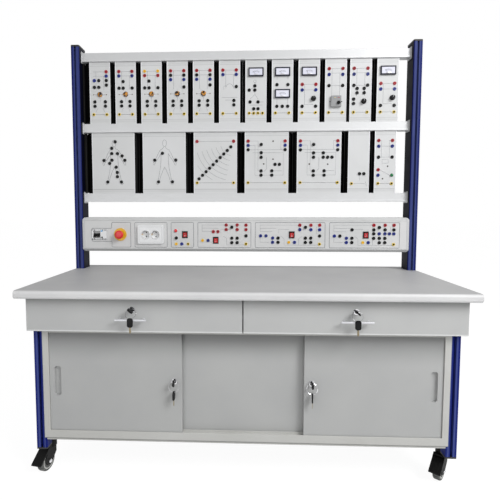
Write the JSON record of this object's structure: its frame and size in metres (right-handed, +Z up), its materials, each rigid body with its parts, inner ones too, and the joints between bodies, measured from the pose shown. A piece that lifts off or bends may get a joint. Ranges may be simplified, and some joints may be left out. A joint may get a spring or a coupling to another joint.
{
  "type": "electrical protection training bench",
  "caption": "Wheeled training bench with rows of plug-in electrical teaching modules above a supply console, drawers and a sliding-door cabinet.",
  "frame": {"origin": "on the floor below the middle of the bench", "axes": "+X to the right of someone facing the bench, +Y to the back, +Z up"},
  "size_m": [1.6, 0.7, 1.75],
  "materials": {
    "worktop": "laminate",
    "profile": "satin",
    "profile_caps": "moulded",
    "rails": "anodised",
    "steel": "plain",
    "chrome": "polished",
    "cabinet": "powder coat",
    "cabinet_dark": "powder coat",
    "cases": "moulded",
    "panels": "printed laminate",
    "black": "moulded",
    "blue": "moulded",
    "red": "moulded",
    "yellow": "moulded",
    "white": "moulded",
    "lamps": "clear lens",
    "console": "satin",
    "dark_grey": "moulded",
    "rubber": "moulded"
  },
  "bodies": {
    "bench": {"worktop": "worktop", "uprights": "profile", "legs": "profile", "profile_end_caps": "profile_caps", "side_stretchers": "profile", "module_rails": "rails", "frame_bolts": "steel", "drawer_housing": "cabinet_dark", "drawer_runners": "steel", "cabinet_shell": "cabinet_dark", "door_frame": "cabinet", "centre_panel": "cabinet", "caster_plates": "steel", "module_cases": "cases", "module_panels": "panels", "jacks_black": "black", "jacks_blue": "blue", "jacks_red": "red", "jacks_yellow": "yellow", "panel_meters": "white", "indicator_lamps": "lamps", "panel_fittings": "black", "console_body": "console", "console_end_caps": "dark_grey", "console_front": "console", "outlet": "white", "switchgear_bodies": "white", "estop_base": "yellow"},
    "drawer_left": {"drawer_left": "cabinet", "drawer_left_fittings": "chrome"},
    "drawer_left_key": {"drawer_left_key": "black"},
    "drawer_right": {"drawer_right": "cabinet", "drawer_right_fittings": "chrome"},
    "drawer_right_key": {"drawer_right_key": "black"},
    "door_left": {"door_left": "cabinet"},
    "door_left_key": {"door_left_key": "black"},
    "door_right": {"door_right": "cabinet"},
    "door_right_key": {"door_right_key": "black"},
    "caster_hood_front_left": {"caster_hood_front_left": "black"},
    "caster_wheel_front_left": {"caster_wheel_front_left": "rubber"},
    "brake_pedal_front_left": {"brake_pedal_front_left": "black"},
    "caster_hood_front_right": {"caster_hood_front_right": "black"},
    "caster_wheel_front_right": {"caster_wheel_front_right": "rubber"},
    "brake_pedal_front_right": {"brake_pedal_front_right": "black"},
    "caster_hood_rear_left": {"caster_hood_rear_left": "black"},
    "caster_wheel_rear_left": {"caster_wheel_rear_left": "rubber"},
    "caster_hood_rear_right": {"caster_hood_rear_right": "black"},
    "caster_wheel_rear_right": {"caster_wheel_rear_right": "rubber"},
    "breaker_lever": {"breaker_lever": "black"},
    "breaker_test_button": {"breaker_test_button": "yellow"},
    "estop_stem": {"estop_stem": "dark_grey"},
    "estop_head": {"estop_head": "red"},
    "rocker_mains": {"rocker_mains": "red"},
    "rocker_first": {"rocker_first": "red"},
    "rocker_second": {"rocker_second": "red"},
    "rocker_third": {"rocker_third": "red"},
    "module_knob_left": {"module_knob_left": "black"},
    "module_knob_middle": {"module_knob_middle": "black"},
    "module_knob_right": {"module_knob_right": "black"},
    "starter_knob": {"starter_knob": "black"}
  },
  "joints": [
    {"name": "drawer_left_slide", "type": "slide", "parent": "bench", "child": "drawer_left", "axis": [0, -1, 0], "range_m": [0, 0.4]},
    {"name": "drawer_left_key_turn", "type": "hinge", "parent": "drawer_left", "child": "drawer_left_key", "pos_m": [-0.391, -0.32, 0.64], "axis": [0, 1, 0], "range_deg": [-40, 50]},
    {"name": "drawer_right_slide", "type": "slide", "parent": "bench", "child": "drawer_right", "axis": [0, -1, 0], "range_m": [0, 0.4]},
    {"name": "drawer_right_key_turn", "type": "hinge", "parent": "drawer_right", "child": "drawer_right_key", "pos_m": [0.391, -0.32, 0.64], "axis": [0, 1, 0], "range_deg": [-40, 50]},
    {"name": "door_left_slide", "type": "slide", "parent": "bench", "child": "door_left", "axis": [1, 0, 0], "range_m": [0, 0.215]},
    {"name": "door_left_key_turn", "type": "hinge", "parent": "door_left", "child": "door_left_key", "pos_m": [-0.247, -0.29, 0.371], "axis": [0, 1, 0], "range_deg": [0, 90]},
    {"name": "door_right_slide", "type": "slide", "parent": "bench", "child": "door_right", "axis": [-1, 0, 0], "range_m": [0, 0.215]},
    {"name": "door_right_key_turn", "type": "hinge", "parent": "door_right", "child": "door_right_key", "pos_m": [0.247, -0.29, 0.371], "axis": [0, 1, 0], "range_deg": [0, 90]},
    {"name": "caster_swivel_front_left", "type": "hinge", "parent": "bench", "child": "caster_hood_front_left", "pos_m": [-0.743, -0.218, 0.11], "axis": [0, 0, 1], "continuous": true},
    {"name": "wheel_spin_front_left", "type": "hinge", "parent": "caster_hood_front_left", "child": "caster_wheel_front_left", "pos_m": [-0.74924, -0.24734, 0.0375], "axis": [0.9781, -0.2079, 0], "continuous": true},
    {"name": "brake_pedal_press_front_left", "type": "hinge", "parent": "caster_hood_front_left", "child": "brake_pedal_front_left", "pos_m": [-0.74882, -0.24539, 0.088], "axis": [-0.9781, 0.2079, 0], "range_deg": [0, 15]},
    {"name": "caster_swivel_front_right", "type": "hinge", "parent": "bench", "child": "caster_hood_front_right", "pos_m": [0.743, -0.218, 0.11], "axis": [0, 0, 1], "continuous": true},
    {"name": "wheel_spin_front_right", "type": "hinge", "parent": "caster_hood_front_right", "child": "caster_wheel_front_right", "pos_m": [0.72372, -0.24098, 0.0375], "axis": [0.766, -0.6428, 0], "continuous": true},
    {"name": "brake_pedal_press_front_right", "type": "hinge", "parent": "caster_hood_front_right", "child": "brake_pedal_front_right", "pos_m": [0.725, -0.23945, 0.088], "axis": [-0.766, 0.6428, 0], "range_deg": [0, 15]},
    {"name": "caster_swivel_rear_left", "type": "hinge", "parent": "bench", "child": "caster_hood_rear_left", "pos_m": [-0.743, 0.218, 0.11], "axis": [0, 0, 1], "continuous": true},
    {"name": "wheel_spin_rear_left", "type": "hinge", "parent": "caster_hood_rear_left", "child": "caster_wheel_rear_left", "pos_m": [-0.73274, 0.24619, 0.0375], "axis": [-0.9397, 0.342, 0], "continuous": true},
    {"name": "caster_swivel_rear_right", "type": "hinge", "parent": "bench", "child": "caster_hood_rear_right", "pos_m": [0.743, 0.218, 0.11], "axis": [0, 0, 1], "continuous": true},
    {"name": "wheel_spin_rear_right", "type": "hinge", "parent": "caster_hood_rear_right", "child": "caster_wheel_rear_right", "pos_m": [0.73274, 0.24619, 0.0375], "axis": [-0.9397, -0.342, 0], "continuous": true},
    {"name": "breaker_lever_throw", "type": "hinge", "parent": "bench", "child": "breaker_lever", "pos_m": [-0.692, 0.2085, 0.874], "axis": [-1, 0, 0], "range_deg": [0, 90]},
    {"name": "breaker_test_button_press", "type": "slide", "parent": "bench", "child": "breaker_test_button", "axis": [0, 1, 0], "range_m": [0, 0.0018], "stiffness_N_per_m": 400},
    {"name": "estop_push", "type": "slide", "parent": "bench", "child": "estop_stem", "axis": [0, 1, 0], "range_m": [0, 0.006]},
    {"name": "estop_twist", "type": "hinge", "parent": "estop_stem", "child": "estop_head", "pos_m": [-0.579, 0.178, 0.874], "axis": [0, 1, 0], "range_deg": [0, 45]},
    {"name": "rocker_mains_tip", "type": "hinge", "parent": "bench", "child": "rocker_mains", "pos_m": [-0.273, 0.206, 0.874], "axis": [1, 0, 0], "range_deg": [-16, 0]},
    {"name": "rocker_first_tip", "type": "hinge", "parent": "bench", "child": "rocker_first", "pos_m": [-0.128, 0.206, 0.848], "axis": [1, 0, 0], "range_deg": [-16, 0]},
    {"name": "rocker_second_tip", "type": "hinge", "parent": "bench", "child": "rocker_second", "pos_m": [0.225, 0.206, 0.874], "axis": [1, 0, 0], "range_deg": [-16, 0]},
    {"name": "rocker_third_tip", "type": "hinge", "parent": "bench", "child": "rocker_third", "pos_m": [0.564, 0.206, 0.874], "axis": [1, 0, 0], "range_deg": [-16, 0]},
    {"name": "module_knob_left_turn", "type": "hinge", "parent": "bench", "child": "module_knob_left", "pos_m": [0.322, 0.2325, 1.502], "axis": [0, 1, 0], "range_deg": [-135, 135]},
    {"name": "module_knob_middle_turn", "type": "hinge", "parent": "bench", "child": "module_knob_middle", "pos_m": [0.551, 0.2325, 1.487], "axis": [0, 1, 0], "range_deg": [-135, 135]},
    {"name": "module_knob_right_turn", "type": "hinge", "parent": "bench", "child": "module_knob_right", "pos_m": [0.68, 0.2325, 1.502], "axis": [0, 1, 0], "range_deg": [-135, 135]},
    {"name": "starter_knob_turn", "type": "hinge", "parent": "bench", "child": "starter_knob", "pos_m": [0.435, 0.2225, 1.48], "axis": [0, 1, 0], "range_deg": [-90, 0]}
  ]
}
